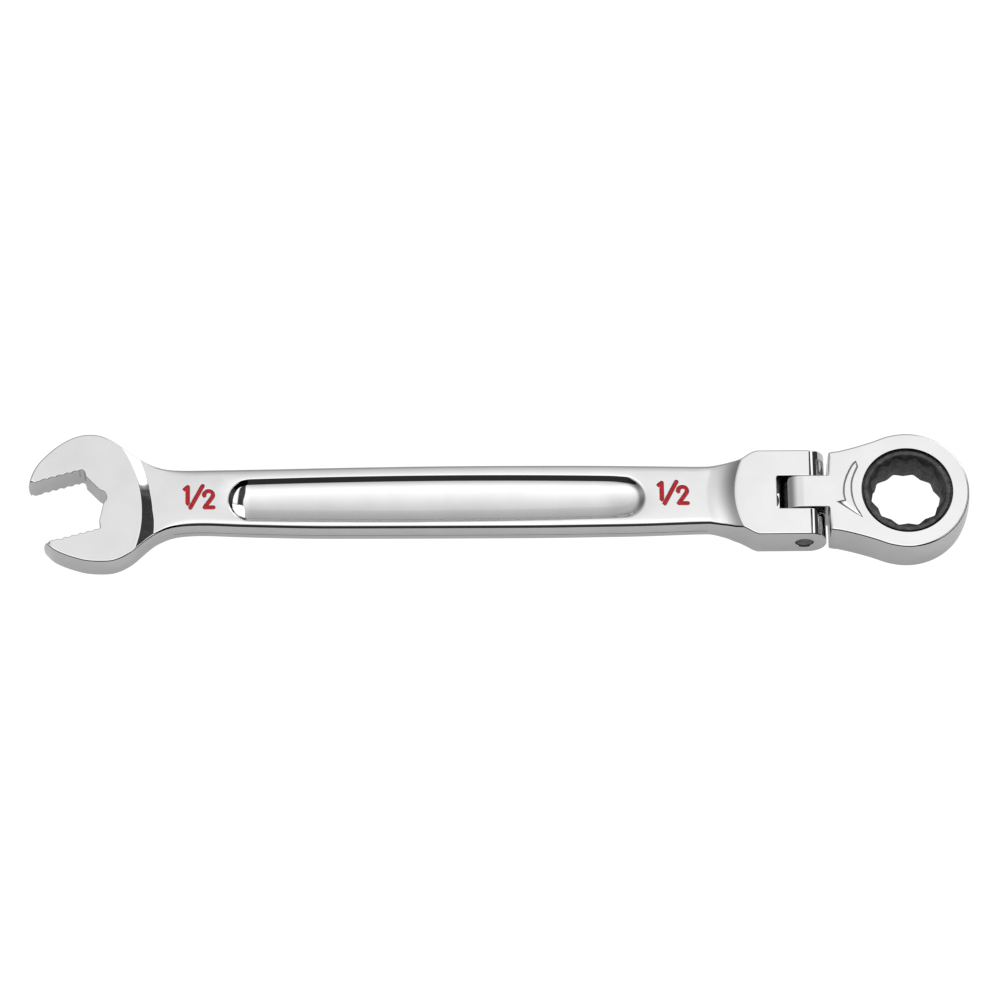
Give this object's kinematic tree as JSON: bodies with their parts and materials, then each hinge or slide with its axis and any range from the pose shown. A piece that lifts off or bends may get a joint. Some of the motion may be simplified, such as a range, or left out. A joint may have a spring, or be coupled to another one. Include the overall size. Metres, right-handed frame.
{
  "type": "flex-head ratcheting combination wrench",
  "caption": "Chrome combination wrench with a serrated open end, a dished shank and a hinged twelve-point ratchet ring.",
  "frame": {"origin": "centre of the whole wrench's box, on the plane that halves every forging", "axes": "+X from the open end to the ratchet ring, +Y across the wrench, +Z out of the marked face"},
  "size_m": [0.1841, 0.0279, 0.0092],
  "materials": {
    "polished_chrome": "polished chrome plate",
    "dark_steel": "black oxide, oiled",
    "spring_steel": "bright drawn wire and strip",
    "red_enamel": "enamel filled into the engraving"
  },
  "bodies": {
    "handle": {"handle_forging": "polished_chrome", "pivot_pin": "dark_steel", "tension_spring": "spring_steel", "open_end_mark_one": "red_enamel", "open_end_mark_stroke": "red_enamel", "open_end_mark_two": "red_enamel", "clevis_end_mark_one": "red_enamel", "clevis_end_mark_stroke": "red_enamel", "clevis_end_mark_two": "red_enamel"},
    "flex_head": {"head_housing": "polished_chrome", "gear_retaining_ring": "spring_steel", "upper_pawl_spring": "spring_steel", "lower_pawl_spring": "spring_steel"},
    "gear": {"drive_gear": "dark_steel"},
    "upper_pawl": {"upper_pawl": "dark_steel"},
    "lower_pawl": {"lower_pawl": "dark_steel"},
    "plunger": {"tension_plunger": "dark_steel"}
  },
  "joints": [
    {"name": "head_flex", "type": "hinge", "parent": "handle", "child": "flex_head", "pos_m": [0.05933, 0, 0], "axis": [0, 1, 0], "range_deg": [-90, 90]},
    {"name": "gear_spin", "type": "hinge", "parent": "flex_head", "child": "gear", "pos_m": [0.0795, 0, 0], "axis": [0, 0, 1], "continuous": true},
    {"name": "upper_pawl_slide", "type": "slide", "parent": "flex_head", "child": "upper_pawl", "axis": [-1, 0, 0], "range_m": [0, 0.0005], "stiffness_N_per_m": 300, "springref_m": -0.001, "deforming": ["upper_pawl_spring"]},
    {"name": "lower_pawl_slide", "type": "slide", "parent": "flex_head", "child": "lower_pawl", "axis": [1, 0, 0], "range_m": [0, 0.00005], "stiffness_N_per_m": 300, "springref_m": 0.001, "deforming": ["lower_pawl_spring"]},
    {"name": "plunger_slide", "type": "slide", "parent": "handle", "child": "plunger", "axis": [-1, 0, 0], "range_m": [0, 0.0006], "stiffness_N_per_m": 1000, "springref_m": -0.001, "deforming": ["tension_spring"]}
  ]
}
